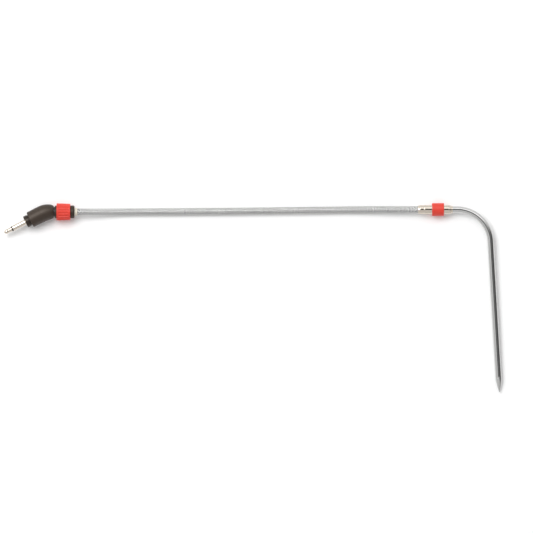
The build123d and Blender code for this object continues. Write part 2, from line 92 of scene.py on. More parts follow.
class ProbeSizes(bpy.types.PropertyGroup):
    needle_radius: length("Needle radius", "Outside radius of the steel tube", 1.5)
    needle_wall: length("Needle wall", "Wall of the steel tube", 0.3)
    bend_radius: length("Bend radius", "Radius of the needle's bend at its centre line", 15.5)
    point_length: length("Point length", "From the weld seam to the sharp end", 6.5)
    ferrule_radius: length("Ferrule radius", "Radius of the crimp sleeve's body", 2.15)
    ring_edge: length("Ring edge", "Chamfer of the ring on the ferrule", 0.3)
    braid_radius: length("Braid radius", "Outside radius of the braided lead", 1.6)
    braid_pitch: length("Braid pitch", "Lead length in which a strand goes once round", 8.76)
    strand_width: length("Strand width", "Width of one flat bundle of wires", 0.63)
    carriers: IntProperty(
        name="Strands", description="Bundles of wire in each direction", default=6, min=4, max=16
    )
    flutes: IntProperty(
        name="Flutes", description="Grooves round the plug's ring", default=18, min=6, max=40
    )
    flute_depth: length("Flute depth", "Depth of the grooves in the plug's ring", 0.32)
    elbow_radius: length("Elbow radius", "Radius of the boot's bend at its centre line", 11.0)
    boot_radius: length("Boot radius", "Radius of the boot where it is thickest", 3.78)
    jack_radius: length("Jack radius", "Radius of the jack's ground contact", 1.25)
    jack_length: length("Jack length", "From the nose to the end of the pin", 11.0)
    nose_length: length("Nose length", "How far the nose stands out of the boot", 2.27)


class ProbeColours(bpy.types.PropertyGroup):
    steel: colour("Steel", "Needle and braid", "#CFCFCE")
    nickel: colour("Nickel", "Ferrule and jack plating", "#D9CFC2")
    red: colour("Ring red", "Both marker rings", "#DA3A2A")
    charcoal: colour("Charcoal", "Boot and collar", "#2A1F17")
    cream: colour("Cream", "Sleeve at the end of the braid", "#DDD5C4")
    floor: colour("Floor", "Table top", "#FFFFFF")


# ---- mesh making ----


def frame_at(origin, x_axis):
    """A frame whose X lies along x_axis and whose Z is as upright as it can be."""
    x = Vector(x_axis).normalized()
    y = Vector((0, 0, 1)).cross(x).normalized()
    z = x.cross(y)
    turn = Matrix((x, y, z)).transposed().to_4x4()
    return Matrix.Translation(origin) @ turn


def skin(name, rings, distances, looped=False, capped=False):
    """A mesh over rings of equal size. Its UV map is in millimetres: round the ring, then along."""
    count = len(rings[0])
    verts = [p for ring in rings for p in ring]
    faces = []
    spans = len(rings) if looped else len(rings) - 1
    for i in range(spans):
        a = i * count
        b = (i + 1) % len(rings) * count
        for j in range(count):
            k = (j + 1) % count
            faces.append((a + j, a + k, b + k, b + j))
    if capped:
        faces.append(tuple(range(count))[::-1])
        faces.append(tuple(range(len(verts) - count, len(verts))))
    mesh = bpy.data.meshes.new(name)
    mesh.from_pydata(verts, [], faces)
    girths = [sum((ring[j] - ring[j - 1]).length for j in range(count)) for ring in rings]
    girth = max(girths) / MM
    uv = mesh.uv_layers.new(name="mm").data
    for face in mesh.polygons:
        i, j = divmod(face.index, count)
        if i >= spans:
            continue
        span_end = distances[i + 1] if i + 1 < len(distances) else distances[i]
        u0, u1 = j / count * girth, (j + 1) / count * girth
        v0, v1 = distances[i] / MM, span_end / MM
        for loop, spot in zip(face.loop_indices, ((u0, v0), (u1, v0), (u1, v1), (u0, v1))):
            uv[loop].uv = spot
    return mesh


def add_piece(mesh, material, body, smooth_angle=35):
    """An object of the mesh, smooth where it turns gently, riding on a body."""
    mesh.validate()
    mesh.update()
    mesh.shade_smooth()
    mesh.set_sharp_from_angle(angle=math.radians(smooth_angle))
    piece = bpy.data.objects.new(mesh.name, mesh)
    bpy.context.scene.collection.objects.link(piece)
    piece.data.materials.append(material)
    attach(piece, body)
    return piece


def round_corners(outline, closed=True):
    """(x, radius, corner radius) points to (x, radius) points, with each corner as an arc."""
    points = []
    count = len(outline)
    for i, (x, r, corner) in enumerate(outline):
        here = Vector((x, r))
        if corner == 0 or (not closed and i in (0, count - 1)):
            points.append(here)
            continue
        before = Vector(outline[i - 1][:2]) - here
        after = Vector(outline[(i + 1) % count][:2]) - here
        half = before.angle(after) / 2
        reach = min(corner / math.tan(half), before.length * 0.48, after.length * 0.48)
        bow = reach * math.tan(half)
        start = here + before.normalized() * reach
        end = here + after.normalized() * reach
        centre = here + (before.normalized() + after.normalized()).normalized() * (bow / math.sin(half))
        points.append(start + before.normalized() * reach * 0.1)
        steps = max(3, round(math.degrees(math.pi - 2 * half) / 15))
        spoke = start - centre
        sweep = spoke.angle_signed(end - centre)
        for s in range(steps + 1):
            points.append(centre + Matrix.Rotation(-sweep * s / steps, 2) @ spoke)
        points.append(end + after.normalized() * reach * 0.1)
    return points


def turned(name, outline, place, around=ROUND, closed=True):
    """A turned mesh from an outline of (x, radius, corner radius) points about the place's X."""
    points = round_corners([(x * MM, r * MM, c * MM) for x, r, c in outline], closed)
    rings, distances, gone = [], [], 0.0
    for i, p in enumerate(points):
        gone += (p - points[i - 1]).length if i else 0.0
        distances.append(gone)
        ring = []
        for j in range(around):
            turn = 2 * math.pi * j / around
            ring.append(place @ Vector((p.x, -p.y * math.sin(turn), p.y * math.cos(turn))))
        rings.append(ring)
    return skin(name, rings, distances, looped=closed, capped=not closed)


def bent_line(start, corner, end, radius, step=0.35 * MM):
    """(point, tangent, distance) along a straight, an arc round the corner and a straight."""
    way_in, way_out = (corner - start).normalized(), (end - corner).normalized()
    turn = way_in.angle(way_out)
    reach = radius * math.tan(turn / 2)
    arc_start, arc_end = corner - way_in * reach, corner + way_out * reach
    inward = (way_out - way_in * way_in.dot(way_out)).normalized()
    centre = arc_start + inward * radius
    first, arc = (arc_start - start).length, radius * turn
    total = first + arc + (end - arc_end).length
    samples = []
    count = math.ceil(total / step)
    for i in range(count + 1):
        gone = total * i / count
        if gone < first:
            samples.append((start + way_in * gone, way_in, gone))
        elif gone < first + arc:
            a = (gone - first) / radius
            point = centre - inward * radius * math.cos(a) + way_in * radius * math.sin(a)
            samples.append((point, way_in * math.cos(a) + inward * math.sin(a), gone))
        else:
            samples.append((arc_end + way_out * (gone - first - arc), way_out, gone))
    return samples


def ring_round(point, tangent, radius, around):
    place = frame_at(point, tangent)
    ring = []
    for j in range(around):
        turn = 2 * math.pi * j / around
        ring.append(place @ Vector((0, -radius * math.sin(turn), radius * math.cos(turn))))
    return ring


def swept(name, samples, outside, inside, around=ROUND):
    """A hollow mesh along samples. outside and inside give the radius at a distance."""
    rings = [ring_round(p, t, outside(d), around) for p, t, d in samples]
    rings += [ring_round(p, t, inside(d), around) for p, t, d in reversed(samples)]
    total = samples[-1][2]
    distances = [d for _, _, d in samples] + [2 * total - d for _, _, d in reversed(samples)]
    return skin(name, rings, distances, looped=True)


# ---- places, all read from the frame ----


def place_of(node, at_high_end=False):
    """The frame on a turned node's own axis at one of its ends."""
    low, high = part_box(node)
    middle = (low + high) / 2
    x = high.x if at_high_end else low.x
    return Matrix.Translation((x, middle.y, middle.z))


def mount(name):
    """(position, axis, length) of a mount in the record."""
    found = next(m for m in frame["record"]["mounts"] if m["name"] == name)
    return Vector(found["pos_m"]), Vector(found["axis"]).normalized(), found["dims"]["length_mm"] * MM


def ferrule_place():
    return place_of("ferrule")


def collar_place():
    return place_of("collar", at_high_end=True)


def pin_place(sizes):
    """The frame at the boot's front, with X along the pin."""
    middle, axis, wall = mount("jack_pin")
    return frame_at(middle - axis * (wall / 2 + sizes.nose_length), axis)


def meet(place, point, axis):
    """Where a line along axis through point comes nearest to the place's X axis."""
    a, b = place.translation, place.to_3x3() @ Vector((1, 0, 0))
    gap = point - a
    slant = b.dot(axis)
    along = (gap.dot(b) - gap.dot(axis) * slant) / (1 - slant * slant)
    return a + b * along


# ---- materials ----


def add_node(tree, kind, inputs=None, **settings):
    """Adds a node, sets its properties, and sets or links its inputs by name or number."""
    made = tree.nodes.new(kind)
    for key, value in settings.items():
        setattr(made, key, value)
    for key, value in (inputs or {}).items():
        if isinstance(value, bpy.types.NodeSocket):
            tree.links.new(value, made.inputs[key])
        else:
            made.inputs[key].default_value = value
    return made


def surface(name, hex_or_rgba, metallic, roughness, grain, mottle=0.06, spread=0.05, bump=0.3,
            height=0.004, by_uv=True, **shader):
    """A finish with a grain of a real size. grain is its size in mm round the piece and along it,
    mottle the change of brightness, spread that of roughness, and height the relief in mm."""
    rgba = linear(hex_or_rgba) if isinstance(hex_or_rgba, str) else list(hex_or_rgba)
    made = bpy.data.materials.new(name)
    made.use_nodes = True
    tree = made.node_tree
    tree.nodes.clear()
    spot = add_node(tree, "ShaderNodeTexCoord")
    per_mm = 1.0 if by_uv else 1 / MM
    sizes = (grain[0], grain[1], grain[-1])
    stretch = add_node(
        tree,
        "ShaderNodeMapping",
        {"Vector": spot.outputs["UV" if by_uv else "Object"], "Scale": [per_mm / g for g in sizes]},
    )
    noise = add_node(
        tree,
        "ShaderNodeTexNoise",
        {"Vector": stretch.outputs[0], "Scale": 1.0, "Detail": 3.0, "Roughness": 0.55},
    )
    dark = [c * (1 - mottle) for c in rgba[:3]] + [1.0]
    light = [min(1.0, c * (1 + mottle)) for c in rgba[:3]] + [1.0]
    tint = add_node(
        tree,
        "ShaderNodeMix",
        {0: noise.outputs[0], 6: dark, 7: light},
        data_type="RGBA",
    )
    gloss = add_node(
        tree,
        "ShaderNodeMapRange",
        {0: noise.outputs[0], 3: max(0.02, roughness - spread), 4: roughness + spread},
    )
    relief = add_node(
        tree,
        "ShaderNodeBump",
        {"Height": noise.outputs[0], "Strength": bump, "Distance": height * MM},
    )
    values = {
        "Base Color": tint.outputs[2],
        "Metallic": metallic,
        "Roughness": gloss.outputs[0],
        "Normal": relief.outputs[0],
    }
    values.update({key.replace("_", " "): value for key, value in shader.items()})
    principled = add_node(tree, "ShaderNodeBsdfPrincipled", values)
    add_node(tree, "ShaderNodeOutputMaterial", {"Surface": principled.outputs[0]})
    return made


# ---- the stage ----


class PROBE_OT_stage(bpy.types.Operator):
    """Sets the camera, the lamps and the pale table top"""

    bl_idname = "probe.stage"
    bl_label = "Stage"

    def execute(self, context):
        mouth = ferrule_place().translation
        scene = context.scene
        # A long lens straight above, with the view's middle left of and nearer than the ferrule.
        view_width, lens = 245.5 * MM, 400.0
        aim = mouth + Vector((-69.7, -26.18, 0)) * MM
        camera = bpy.data.cameras.new("camera")
        camera.lens = lens
        camera.sensor_width = 36.0
        height = view_width / camera.sensor_width * lens
        camera.clip_start, camera.clip_end = 0.05, 10.0
        eye = bpy.data.objects.new("camera", camera)
        eye.location = (aim.x, aim.y, height)
        scene.collection.objects.link(eye)
        scene.camera = eye

        table = bpy.data.meshes.new("table_top")
        reach = 1.6
        signs = ((-1, -1), (1, -1), (1, 1), (-1, 1))
        corners = [(aim.x + sx * reach, aim.y + sy * reach, 0) for sx, sy in signs]
        table.from_pydata(corners, [], [(0, 1, 2, 3)])
        top = bpy.data.objects.new("table_top", table)
        scene.collection.objects.link(top)
        # Matt laminate: plain white with no shine, so that only the shadows show on it.
        floor = context.scene.probe_colours.floor
        white = surface("laminate_matt_white", floor, 0.0, 0.9, (40, 40, 40), mottle=0.0, bump=0.0,
                        by_uv=False, Specular_IOR_Level=0.0)
        table.materials.append(white)

        # A soft box up and to the left: the shadows fall to the right and just below.
        lamp = bpy.data.lights.new("soft_box", "AREA")
        lamp.shape, lamp.size, lamp.energy = "DISK", 0.6, 4.9
        soft_box = bpy.data.objects.new("soft_box", lamp)
        way = Vector((-0.5, 0.5, 1.2)).normalized()
        soft_box.location = aim + way
        soft_box.rotation_euler = way.to_track_quat("Z", "Y").to_euler()
        scene.collection.objects.link(soft_box)
        self.soft_room(scene)
        scene.view_settings.view_transform = "Standard"
        return {"FINISHED"}

    def soft_room(self, scene):
        """A room of soft light: a big white wall on one side, a pale one opposite, a dark doorway
        at the far end and a dark opening overhead, which put the bands on polished metal."""
        world = bpy.data.worlds.new("studio")
        scene.world = world
        world.use_nodes = True
        tree = world.node_tree
        tree.nodes.clear()
        way = add_node(tree, "ShaderNodeTexCoord").outputs["Generated"]

        def towards(direction, low, high):
            """0 to 1 as the way looked in turns towards a direction."""
            dot = add_node(
                tree, "ShaderNodeVectorMath", {0: way, 1: direction}, operation="DOT_PRODUCT"
            )
            return add_node(
                tree,
                "ShaderNodeMapRange",
                {0: dot.outputs["Value"], 1: low, 2: high},
                interpolation_type="SMOOTHSTEP",
            ).outputs[0]

        def over(below, above, share):
            mixed = add_node(tree, "ShaderNodeMix", {0: share, 6: below, 7: above}, data_type="RGBA")
            return mixed.outputs[2]

        def both(one, other):
            return add_node(tree, "ShaderNodeMath", {0: one, 1: other}, operation="MULTIPLY").outputs[0]

        up = (0.0, 0.0, 1.0)
        white_wall = over(grey(0.95), grey(1.75), towards(up, 0.45, 0.85))
        span = both(towards((-0.5, 0.866, 0.0), 0.0, 0.14), towards((0.5, 0.866, 0.0), 0.0, 0.14))
        light = over(grey(0.72), white_wall, span)
        span = both(towards((1.0, -1.6, 0.0), 0.05, 0.45), towards((1.0, 1.2, 0.0), 0.05, 0.45))
        light = over(light, grey(0.1), span)
        light = over(light, grey(0.03), towards((0.0, 0.15, 0.99), 0.93, 0.975))
        light = over(grey(0.16), light, towards(up, 0.02, 0.13))
        seen = add_node(tree, "ShaderNodeLightPath").outputs["Is Camera Ray"]
        light = over(light, linear("#F2F2F2"), seen)
        glow = add_node(tree, "ShaderNodeBackground", {"Color": light, "Strength": 1.0})
        add_node(tree, "ShaderNodeOutputWorld", {"Surface": glow.outputs[0]})


# ---- the lead ----

# The lead's route in mm: x and y from the ferrule's mouth, and z above the table.
CABLE_ROUTE = [
    (6.3, 0.0, 3.0),
    (-9.0, 0.0, 3.0),
    (-27.0, 0.04, 1.62),
    (-53.0, -0.28, 1.62),
    (-88.0, -0.74, 1.62),
    (-119.0, -0.93, 1.62),
    (-138.0, -1.02, 1.62),
    (-151.5, -1.06, 4.0),
    (-163.5, -1.06, 4.0),
]
CORE_RADIUS = 1.28 * MM  # the jacket, seen only between the strands
DOT_ROW = math.radians(6)  # turns the braid, so that a row of dots lies just above its middle


def route_curve(name):
    """The lead's centre line: one open spline with the route's points as its control points."""
    mouth = ferrule_place().translation
    curve = bpy.data.curves.new(name, "CURVE")
    curve.dimensions = "3D"
    curve.resolution_u = 48
    spline = curve.splines.new("NURBS")
    spline.points.add(len(CABLE_ROUTE) - 1)
    for point, (x, y, z) in zip(spline.points, CABLE_ROUTE):
        point.co = (mouth.x + x * MM, mouth.y + y * MM, z * MM, 1.0)
    spline.order_u = 3
    spline.use_endpoint_u = True
    return curve


def route_line(curve, step):
    """(point, tangent, distance) at equal steps along the lead, read from its spline."""
    holder = bpy.data.objects.new("route_reader", curve)
    line = bpy.data.meshes.new_from_object(holder)
    points = [v.co.copy() for v in line.vertices]
    bpy.data.objects.remove(holder)
    bpy.data.meshes.remove(line)
    gone = [0.0]
    for a, b in zip(points, points[1:]):
        gone.append(gone[-1] + (b - a).length)
    samples = []
    count = round(gone[-1] / step)
    k = 0
    for i in range(count + 1):
        d = gone[-1] * i / count
        while k < len(points) - 2 and gone[k + 1] < d:
            k += 1
        share = (d - gone[k]) / (gone[k + 1] - gone[k])
        samples.append((points[k].lerp(points[k + 1], share), d))
    out = []
    for i, (p, d) in enumerate(samples):
        before, after = samples[max(0, i - 1)][0], samples[min(count, i + 1)][0]
        out.append((p, (after - before).normalized(), d))
    return out


def strands(name, line, hand, sizes):
    """One direction of the braid: flat bundles of wire that pass over and under the other's."""
    carriers, pitch = sizes.carriers, sizes.braid_pitch
    wires, dome, groove, weave = 4, 0.1 * MM, 0.06 * MM, 0.085 * MM
    middle = sizes.braid_radius - weave - dome
    slope = 2 * math.pi * middle / pitch
    half_turn = sizes.strand_width / 2 / middle * math.sqrt(1 + slope * slope)
    profile = []
    for i in range(4 * wires + 1):
        across = -1 + i / (2 * wires)
        round_wire = math.sqrt(abs(math.sin(math.pi * i / 4)))
        profile.append((across, dome * (1 - 0.45 * across * across) - groove * (1 - round_wire)))
    profile += [(1.0, -0.02 * MM), (-1.0, -0.02 * MM)]
    verts, faces, spots = [], [], []
    size = len(profile)
    for c in range(carriers):
        base = len(verts)
        for p, t, d in line:
            place = frame_at(p, t)
            turn = 2 * math.pi * (c / carriers + hand * d / pitch) - DOT_ROW
            # it crosses a strand of the other hand every half spacing, over and under by turns
            phase = 2 * math.pi * d * carriers / pitch + (math.pi if hand < 0 else 0.0)
            lift = weave * math.cos(phase)
            for across, height in profile:
                a = turn + across * half_turn
                r = middle + lift + height
                verts.append(place @ Vector((0, -r * math.sin(a), r * math.cos(a))))
                spots.append((across * sizes.strand_width / MM / 2, d / MM))
        rows = len(line)
        for i in range(rows - 1):
            a, b = base + i * size, base + (i + 1) * size
            for j in range(size):
                k = (j + 1) % size
                faces.append((a + j, a + k, b + k, b + j))
        faces.append(tuple(base + j for j in range(size))[::-1])
        faces.append(tuple(base + (rows - 1) * size + j for j in range(size)))
    mesh = bpy.data.meshes.new(name)
    mesh.from_pydata(verts, [], faces)
    uv = mesh.uv_layers.new(name="mm").data
    for loop in mesh.loops:
        uv[loop.index].uv = spots[loop.vertex_index]
    return mesh


class PROBE_OT_lead(bpy.types.Operator):
    """Lays the lead: its core, the two directions of braid and the cream end sleeve"""

    bl_idname = "probe.lead"
    bl_label = "Braided lead"

    def execute(self, context):
        sizes, colours = context.scene.probe_sizes, context.scene.probe_colours
        curve = route_curve("lead_core")
        line = route_line(curve, 0.24 * MM)
        curve.bevel_depth = CORE_RADIUS
        curve.bevel_resolution = 8
        curve.use_fill_caps = True
        # Extruded silicone: its own soft grey is painted far darker, as painted shade for the gaps between
        # strands, where it shows as the dark dots.
        core_with_painted_shade = surface("silicone_grey_darkened_as_gap_shade", "#2E2C2B", 0.0, 0.6, (0.6, 0.6, 0.6), by_uv=False)
        core = bpy.data.objects.new("lead_core", curve)
        context.scene.collection.objects.link(core)
        curve.materials.append(core_with_painted_shade)
        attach(core, ROOT)
        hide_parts("cable_jacket")

        steel = surface("stainless_wire_woven", colours.steel, 1.0, 0.27, (0.05, 1.2), mottle=0.08)
        with_pieces = []
        for name, hand in (("braid_right_hand", 1), ("braid_left_hand", -1)):
            strand = add_piece(strands(name, line, hand, sizes), steel, ROOT, 60)
            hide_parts("cable_braid")
            with_pieces.append(strand)

        # Shrunk polyolefin: satin cream skin, drawn in a little at its free end.
        cream = surface("polyolefin_shrunk_cream", colours.cream, 0.0, 0.5, (0.3, 0.8), height=0.02)
        sleeve = turned(
            "braid_end_sleeve_skin",
            [(-1.9, 1.62, 0), (1.33, 1.62, 0), (1.33, 1.7, 0.04), (1.1, 1.74, 0.1), (-1.9, 1.74, 0)],
            collar_place(),
        )
        sleeve = add_piece(sleeve, cream, ROOT)
        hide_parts("braid_end_sleeve")
        with_pieces.append(sleeve)
        length = line[-1][2]
        context.scene["lead_length"] = length
        context.scene["lead_pieces"] = [p.name for p in with_pieces]
        return {"FINISHED"}


# ---- the probe ----


def needle_line(sizes):
    """The needle's centre line from inside the ferrule to the weld seam, and its frame there."""
    ferrule = ferrule_place()
    middle, axis, straight = mount("needle_shank")
    seam = middle + axis * straight / 2
    corner = meet(ferrule, middle, axis)
    inner_end = ferrule.translation + Vector((9.05, 0, 0)) * MM
    return bent_line(inner_end, corner, seam, sizes.bend_radius), frame_at(seam, axis)


class PROBE_OT_needle(bpy.types.Operator):
    """Bends the steel tube and grinds the point that is welded to it"""

    bl_idname = "probe.needle"
    bl_label = "Needle"

    def execute(self, context):
        sizes, colours = context.scene.probe_sizes, context.scene.probe_colours
        # Stainless tube, drawn and polished: mirror bands that run along it, with faint draw lines.
        steel = surface("stainless_tube_polished", colours.steel, 1.0, 0.13, (0.08, 6.0), mottle=0.03,
                        spread=0.02, bump=0.02)
        samples, seam = needle_line(sizes)
        end = samples[-1][2]
        seam_groove = 0.05 * MM

        def outside(d):
            near = max(0.0, 1 - (end - d) / (0.25 * MM))
            return sizes.needle_radius - seam_groove * near

        tube = swept("needle_shaft", samples, outside, lambda d: sizes.needle_radius - sizes.needle_wall)
        tube = add_piece(tube, steel, ROOT)
        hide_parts("needle_tube")

        r, reach = sizes.needle_radius / MM, sizes.point_length / MM
        flank = []
        steps = 24
        for i in range(steps + 1):
            share = i / steps
            fall = share**1.25
            flank.append((0.3 + (reach - 0.42) * share, r - (r - 0.2) * fall, 0))
        outline = [(-2.5, r - 0.32, 0), (0.0, r - 0.32, 0), (0.0, r - 0.05, 0)] + flank
        outline += [(reach - 0.03, 0.12, 0), (reach, 0.03, 0)]
        # Ground stainless: the same steel with fine grinding rings round the point.
        ground = surface("stainless_point_ground", colours.steel, 1.0, 0.2, (3.0, 0.06), mottle=0.04,
                         spread=0.05, bump=0.12)
        point = add_piece(turned("needle_point", outline, seam, closed=False), ground, ROOT)
        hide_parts("needle_tip")
        return {"FINISHED"}


class PROBE_OT_ferrule(bpy.types.Operator):
    """Turns the crimp sleeve that joins the lead to the needle, and its red ring"""

    bl_idname = "probe.ferrule"
    bl_label = "Ferrule and ring"

    def execute(self, context):
        sizes, colours = context.scene.probe_sizes, context.scene.probe_colours
        place = ferrule_place()
        r = sizes.ferrule_radius / MM
        # Nickel-plated brass, polished: warm mirror bands, a little softer than the steel.
        nickel = surface("nickel_plate_polished", colours.nickel, 1.0, 0.16, (5.0, 0.12), mottle=0.03,
                         spread=0.02, bump=0.02)
        braid_bore, needle_bore, crimp, swaged = 1.63, 1.52, 2.05, 1.68
        swage = []
        steps = 14
        for i in range(steps + 1):
            share = i / steps
            ease = share * share * (3 - 2 * share)
            swage.append((13.9 + 2.05 * share, r - (r - swaged) * ease, 0))
        outline = [(0, braid_bore, 0), (0, 1.75, 0.06), (0.9, crimp, 0.6), (2.8, crimp, 0.3), (3.0, r, 0.3)]
        outline += swage
        outline += [(16.0, 1.62, 0.04), (16.0, needle_bore, 0), (9.0, needle_bore, 0), (9.0, braid_bore, 0)]
        sleeve = add_piece(turned("ferrule_sleeve", outline, place), nickel, ROOT)
        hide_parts("ferrule")

        # Moulded silicone: saturated red with a soft satin sheen.
        red = surface("silicone_moulded_red", colours.red, 0.0, 0.42, (0.25, 0.25), mottle=0.04,
                      bump=0.15, Subsurface_Weight=0.06, Subsurface_Scale=0.0006)
        low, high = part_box("probe_id_ring")
        bore, outer, width = r + 0.05, (high.z - low.z) / 2 / MM, (high.x - low.x) / MM
        edge = sizes.ring_edge / MM
        outline = [(0, bore, 0.1), (0, outer, edge), (width, outer, edge), (width, bore, 0.1)]
        ring = turned("probe_ring_band", outline, place_of("probe_id_ring"))
        ring = add_piece(ring, red, "probe_ring")
        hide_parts("probe_id_ring")
        return {"FINISHED"}


# ---- the plug ----


class PROBE_OT_collar(bpy.types.Operator):
    """Moulds the black spool at the plug's tail and the ribbed red ring that turns on it"""

    bl_idname = "probe.collar"
    bl_label = "Collar and ring"

    def execute(self, context):
        sizes, colours = context.scene.probe_sizes, context.scene.probe_colours
        place = collar_place()
        # Soft-touch elastomer over plastic: near black, warm, with a broad dull highlight.
        soft = surface("elastomer_soft_touch", colours.charcoal, 0.0, 0.5, (0.5, 0.5), mottle=0.35,
                       spread=0.1, bump=0.5, height=0.02, Specular_Tint=WARM_SHINE)
        outline = [
            (-9.0, 2.34, 0), (-9.0, 2.92, 0.2), (-8.26, 2.92, 0.08), (-8.26, 2.6, 0),
            (-1.84, 2.6, 0), (-1.84, 2.92, 0.08), (0, 2.92, 0.55), (0, 1.78, 0.08),
            (-1.95, 1.78, 0), (-1.95, 2.02, 0), (-7.6, 2.02, 0), (-7.6, 2.34, 0),
        ]
        spool = add_piece(turned("collar_spool", outline, place), soft, ROOT)
        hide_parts("collar")
        ring = add_piece(self.ribbed_ring(sizes), self.red(colours), "plug_ring", 50)
        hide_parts("plug_id_ring")
        return {"FINISHED"}

    def red(self, colours):
        # Moulded silicone: saturated red with a soft satin sheen.
        return surface("silicone_moulded_red_ribbed", colours.red, 0.0, 0.42, (0.25, 0.25), mottle=0.04,
                       bump=0.15, Subsurface_Weight=0.06, Subsurface_Scale=0.0006)

    def ribbed_ring(self, sizes):
        """A band with flutes along it that stop short of two plain rims."""
        low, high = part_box("plug_id_ring")
        place = place_of("plug_id_ring")
        width = (high.x - low.x) / MM
        big, small, bore, edge, rim = 3.975, 3.755, 2.65, 0.15, 0.7
        crown_floor = 3.7 * MM  # points further out than this are on the ring's outside
        half_flute = 0.31  # half a flute's width, as a share of the spacing
        outline = [(0, bore, 0.06), (0, big, edge), (width, small, edge), (width, bore, 0.06)]
        around = sizes.flutes * 14
        points = round_corners([(x * MM, r * MM, c * MM) for x, r, c in outline])
        # extra rings between the rims, so that the flutes' ends are round
        crown = [i for i, p in enumerate(points) if p.y > crown_floor and p.x < width / 2 * MM][-1]
        extra = []
        for x in (0.6, 0.7, 0.78, 0.86, 1.0, 2.0, 3.15):
            for at in (x, width - x):
                extra.append(Vector((at * MM, (big + (small - big) * at / width) * MM)))
        extra = sorted({(round(p.x, 7), p.y) for p in extra})
        points[crown + 1 : crown + 1] = [Vector(p) for p in extra]
        rings, distances, gone = [], [], 0.0
        for i, p in enumerate(points):
            gone += (p - points[i - 1]).length if i else 0.0
            distances.append(gone)
            inset = min(p.x, width * MM - p.x) - (rim - 0.1) * MM
            share = max(0.0, min(1.0, inset / (0.35 * MM)))
            cut = sizes.flute_depth * math.sqrt(share * (2 - share)) if p.y > crown_floor else 0.0
            ring = []
            for j in range(around):
                turn = 2 * math.pi * j / around
                cell = (j / around * sizes.flutes) % 1.0 - 0.5
                dip = math.sqrt(max(0.0, 1 - (cell / half_flute) ** 2))
                r = p.y - cut * dip
                ring.append(place @ Vector((p.x, -r * math.sin(turn), r * math.cos(turn))))
            rings.append(ring)
        return skin("plug_ring_band", rings, distances, looped=True)


class PROBE_OT_boot(bpy.types.Operator):
    """Moulds the elbow over the joint and the stepped nose in front of it"""

    bl_idname = "probe.boot"
    bl_label = "Boot and nose"

    def execute(self, context):
        sizes, colours = context.scene.probe_sizes, context.scene.probe_colours
        pin = pin_place(sizes)
        collar = collar_place()
        pin_way = pin.to_3x3() @ Vector((1, 0, 0))
        corner = meet(collar, pin.translation, pin_way)
        tail = Vector((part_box("boot")[1].x, collar.translation.y, collar.translation.z))
        samples = bent_line(tail, corner, pin.translation, sizes.elbow_radius, 0.15 * MM)
        total = samples[-1][2]
        edge = 0.35 * MM
        full, tail_radius, front_radius = sizes.boot_radius, 2.85 * MM, 3.7 * MM
        bore = 2.33 * MM

        def outside(d):
            share = d / total
            if share < 0.5:
                r = full - (full - tail_radius) * (1 - share / 0.5) ** 3.3
            else:
                r = full - (full - front_radius) * ((share - 0.5) / 0.5) ** 2
            into = max(0.0, d - (total - edge)) / edge
            return r - edge * (1 - math.sqrt(max(0.0, 1 - into * into)))

        # Soft-touch elastomer over plastic: a warm near-black, with a broad mottled highlight.
        soft = surface("elastomer_soft_touch_boot", colours.charcoal, 0.0, 0.5, (0.7, 0.7), mottle=0.35,
                       spread=0.1, bump=0.5, height=0.03, Specular_IOR_Level=0.65,
                       Specular_Tint=WARM_SHINE)
        # more rings in the rounded front edge
        last = samples[-1]
        fine = [s for s in samples if s[2] < total - edge]
        for i in range(9):
            d = total - edge + edge * math.sin(i / 8 * math.pi / 2)
            fine.append((last[0] - last[1] * (total - d), last[1], d))
        boot = swept("boot_shell", fine, outside, lambda d: bore)
        boot = add_piece(boot, soft, ROOT, 50)
        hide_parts("boot")

        # Moulded ABS: black and tighter in its shine than the boot.
        hard = surface("abs_moulded_black", "#241C16", 0.0, 0.36, (0.5, 0.5), mottle=0.25, bump=0.15,
                       Specular_IOR_Level=0.4, Specular_Tint=WARM_SHINE)
        n = sizes.nose_length / MM
        outline = [
            (-0.45, 1.47, 0), (-0.45, 2.3, 0), (0.06, 2.3, 0), (0.06, 2.5, 0), (0.5, 2.5, 0.05),
            (0.5, 2.75, 0.12), (n, 2.75, 0.25), (n, 1.47, 0.05),
        ]
        nose = add_piece(turned("nose_collar", outline, pin), hard, ROOT)
        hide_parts("plug_nose")
        return {"FINISHED"}


